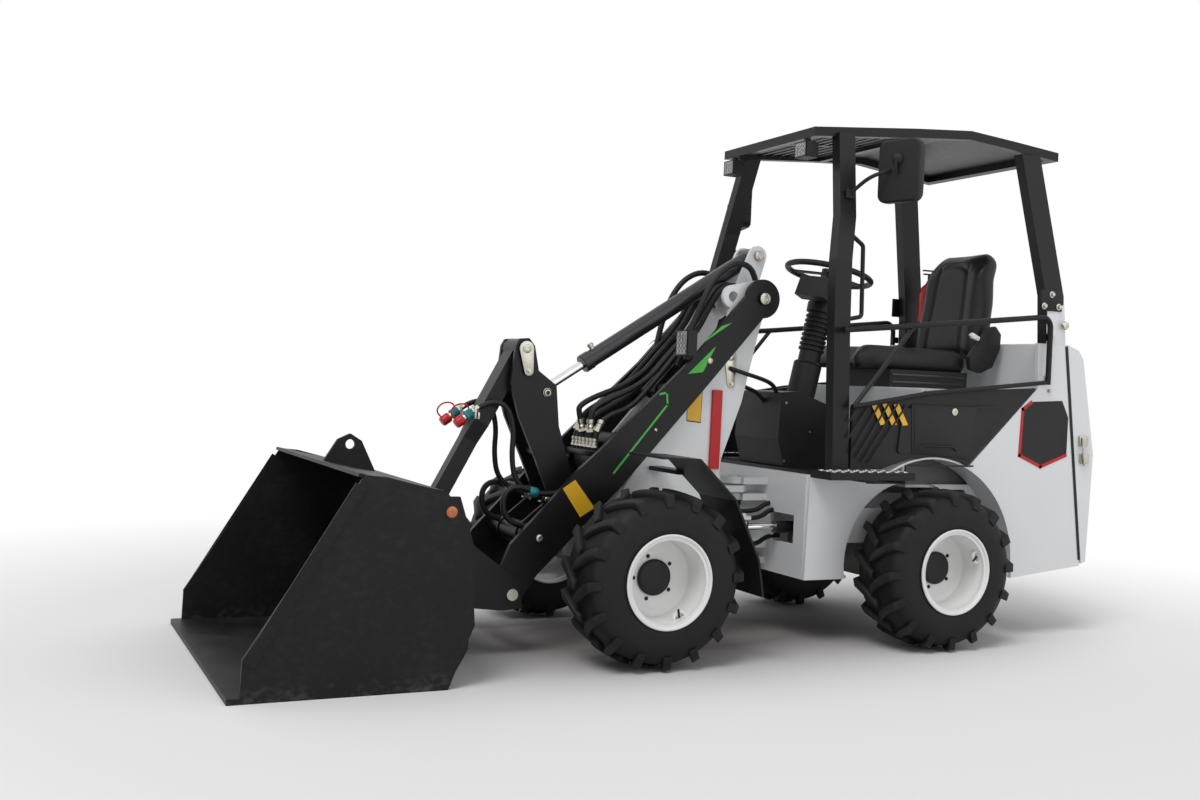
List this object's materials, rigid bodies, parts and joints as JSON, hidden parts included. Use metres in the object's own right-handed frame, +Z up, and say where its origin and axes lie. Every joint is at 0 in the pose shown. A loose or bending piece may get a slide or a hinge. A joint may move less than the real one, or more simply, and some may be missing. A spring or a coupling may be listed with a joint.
{
  "type": "compact articulated wheel loader",
  "caption": "Small centre-pivot wheel loader with four lugged tyres, open roll-over canopy, loader boom with tilt linkage and a wide front bucket.",
  "frame": {"origin": "middle of the footprint on the ground, on the machine's centre line", "axes": "+Z up, -Y towards the bucket, +X the machine's own left"},
  "size_m": [1.3626, 3.766, 2.183],
  "materials": {
    "white_paint": "satin",
    "black_paint": "satin",
    "axle_grey": "painted",
    "battery": "plain block",
    "black_plastic": "matte",
    "vinyl": "soft",
    "tyre": "rubber",
    "rim_white": "gloss",
    "red_paint": "gloss",
    "pin_zinc": "zinc plated",
    "cylinder": "gloss",
    "rod_chrome": "polished",
    "lamp": "clear",
    "teal_plastic": "moulded",
    "bucket_black": "worn satin"
  },
  "bodies": {
    "rear_frame": {"rear_chassis": "white_paint", "rear_axle": "axle_grey", "battery_block": "battery", "body_sides": "white_paint", "rear_deck": "white_paint", "battery_covers": "black_plastic", "platform_floor": "black_paint", "entry_steps": "black_paint", "front_console": "black_plastic", "steering_column": "black_plastic", "seat_base": "black_plastic", "seat_cushion": "vinyl", "seat_backrest": "vinyl", "canopy_frame": "black_paint", "roof_panel": "black_paint", "roof_grille": "black_paint", "canopy_lamps": "lamp", "mirrors": "black_plastic", "fire_extinguisher": "red_paint"},
    "steering_wheel": {"steering_wheel": "black_plastic"},
    "rear_door": {"rear_door": "white_paint"},
    "gate_left": {"gate_left": "black_paint"},
    "gate_right": {"gate_right": "black_paint"},
    "steer_barrel": {"steer_cylinder_barrel": "cylinder"},
    "steer_rod": {"steer_cylinder_rod": "rod_chrome"},
    "front_frame": {"front_chassis": "white_paint", "front_axle": "axle_grey", "front_fenders": "black_paint", "safety_strut": "red_paint"},
    "lift_barrel": {"lift_cylinder_barrel": "cylinder"},
    "lift_rod": {"lift_cylinder_rod": "rod_chrome"},
    "boom": {"boom": "black_paint", "boom_lamp": "lamp", "lever_pin": "pin_zinc", "bucket_pin": "pin_zinc"},
    "bell_crank": {"bell_crank": "black_paint", "link_pin": "pin_zinc"},
    "tilt_link": {"tilt_link": "black_paint"},
    "tilt_barrel": {"tilt_cylinder_barrel": "cylinder"},
    "tilt_piston": {"tilt_cylinder_piston": "pin_zinc"},
    "tilt_rod": {"tilt_cylinder_rod": "rod_chrome"},
    "bucket": {"quick_coupler": "black_paint", "bucket": "bucket_black"},
    "wheel_front_left": {"tyre_front_left": "tyre", "rim_front_left": "rim_white"},
    "wheel_front_right": {"tyre_front_right": "tyre", "rim_front_right": "rim_white"},
    "wheel_rear_left": {"tyre_rear_left": "tyre", "rim_rear_left": "rim_white"},
    "wheel_rear_right": {"tyre_rear_right": "tyre", "rim_rear_right": "rim_white"}
  },
  "joints": [
    {"name": "articulation_steer", "type": "hinge", "parent": "rear_frame", "child": "front_frame", "pos_m": [0, 0.317, 0.465], "axis": [0, 0, 1], "range_deg": [-40, 40]},
    {"name": "steer_cylinder_swing", "type": "hinge", "parent": "rear_frame", "child": "steer_barrel", "pos_m": [0.205, 0.787, 0.465], "axis": [0, 0, 1], "range_deg": [-3.89, 3.89]},
    {"name": "steer_rod_slide", "type": "slide", "parent": "steer_barrel", "child": "steer_rod", "axis": [-0.0672, -0.9977, 0], "range_m": [-0.1178, 0.1178]},
    {"name": "boom_lift", "type": "hinge", "parent": "front_frame", "child": "boom", "pos_m": [0, 0.284, 1.41], "axis": [-1, 0, 0], "range_deg": [0, 72]},
    {"name": "lift_cylinder_swing", "type": "hinge", "parent": "front_frame", "child": "lift_barrel", "pos_m": [0, 0.052, 0.4], "axis": [-1, 0, 0], "range_deg": [-8, 0]},
    {"name": "lift_rod_slide", "type": "slide", "parent": "lift_barrel", "child": "lift_rod", "axis": [0, -0.0134, 0.9999], "range_m": [0, 0.4135]},
    {"name": "bucket_tilt", "type": "hinge", "parent": "boom", "child": "bucket", "pos_m": [0, -0.787, 0.234], "axis": [-1, 0, 0], "range_deg": [-109, 30]},
    {"name": "lever_swing", "type": "hinge", "parent": "boom", "child": "bell_crank", "pos_m": [0, -0.513, 0.575], "axis": [-1, 0, 0], "range_deg": [-76.8, 21.5]},
    {"name": "link_swing", "type": "hinge", "parent": "bell_crank", "child": "tilt_link", "pos_m": [0, -0.702, 1.158], "axis": [-1, 0, 0], "range_deg": [-12.2, 43.01]},
    {"name": "tilt_cylinder_swing", "type": "hinge", "parent": "front_frame", "child": "tilt_barrel", "pos_m": [0, 0.352, 1.603], "axis": [-1, 0, 0], "range_deg": [0, 67.46]},
    {"name": "tilt_piston_slide", "type": "slide", "parent": "tilt_barrel", "child": "tilt_piston", "axis": [0, -0.8418, -0.5398], "range_m": [-0.089, 0]},
    {"name": "tilt_rod_slide", "type": "slide", "parent": "tilt_piston", "child": "tilt_rod", "axis": [0, -0.8418, -0.5398], "range_m": [-0.1005, 0.3625]},
    {"name": "wheel_front_left_roll", "type": "hinge", "parent": "front_frame", "child": "wheel_front_left", "pos_m": [0.529, -0.343, 0.331], "axis": [1, 0, 0], "continuous": true},
    {"name": "wheel_front_right_roll", "type": "hinge", "parent": "front_frame", "child": "wheel_front_right", "pos_m": [-0.529, -0.343, 0.331], "axis": [1, 0, 0], "continuous": true},
    {"name": "wheel_rear_left_roll", "type": "hinge", "parent": "rear_frame", "child": "wheel_rear_left", "pos_m": [0.529, 0.977, 0.331], "axis": [1, 0, 0], "continuous": true},
    {"name": "wheel_rear_right_roll", "type": "hinge", "parent": "rear_frame", "child": "wheel_rear_right", "pos_m": [-0.529, 0.977, 0.331], "axis": [1, 0, 0], "continuous": true},
    {"name": "steering_wheel_turn", "type": "hinge", "parent": "rear_frame", "child": "steering_wheel", "pos_m": [0, 0.767, 1.56], "axis": [0, 0.2214, 0.9752], "continuous": true},
    {"name": "rear_door_swing", "type": "hinge", "parent": "rear_frame", "child": "rear_door", "pos_m": [-0.512, 1.807, 0.8], "axis": [0, 0, 1], "range_deg": [0, 100]},
    {"name": "gate_left_swing", "type": "hinge", "parent": "rear_frame", "child": "gate_left", "pos_m": [0.53, 1.562, 1.2], "axis": [0, 0, 1], "range_deg": [0, 100]},
    {"name": "gate_right_swing", "type": "hinge", "parent": "rear_frame", "child": "gate_right", "pos_m": [-0.53, 1.562, 1.2], "axis": [0, 0, -1], "range_deg": [0, 100]}
  ],
  "couplings": [
    {"joint": "steer_cylinder_swing", "follows": "articulation_steer", "ratio": 0.0848},
    {"joint": "steer_rod_slide", "follows": "articulation_steer", "m_per_rad": -0.1658},
    {"joint": "lift_cylinder_swing", "follows": "boom_lift", "ratio": -0.1041},
    {"joint": "lift_rod_slide", "follows": "boom_lift", "m_per_rad": 0.3275},
    {"joint": "tilt_cylinder_swing", "follows": "boom_lift", "ratio": 0.93},
    {"joint": "tilt_piston_slide", "follows": "boom_lift", "m_per_rad": -0.07},
    {"joint": "lever_swing", "follows": "bucket_tilt", "ratio": 0.7},
    {"joint": "link_swing", "follows": "bucket_tilt", "ratio": -0.39},
    {"joint": "tilt_rod_slide", "follows": "bucket_tilt", "m_per_rad": -0.19}
  ]
}
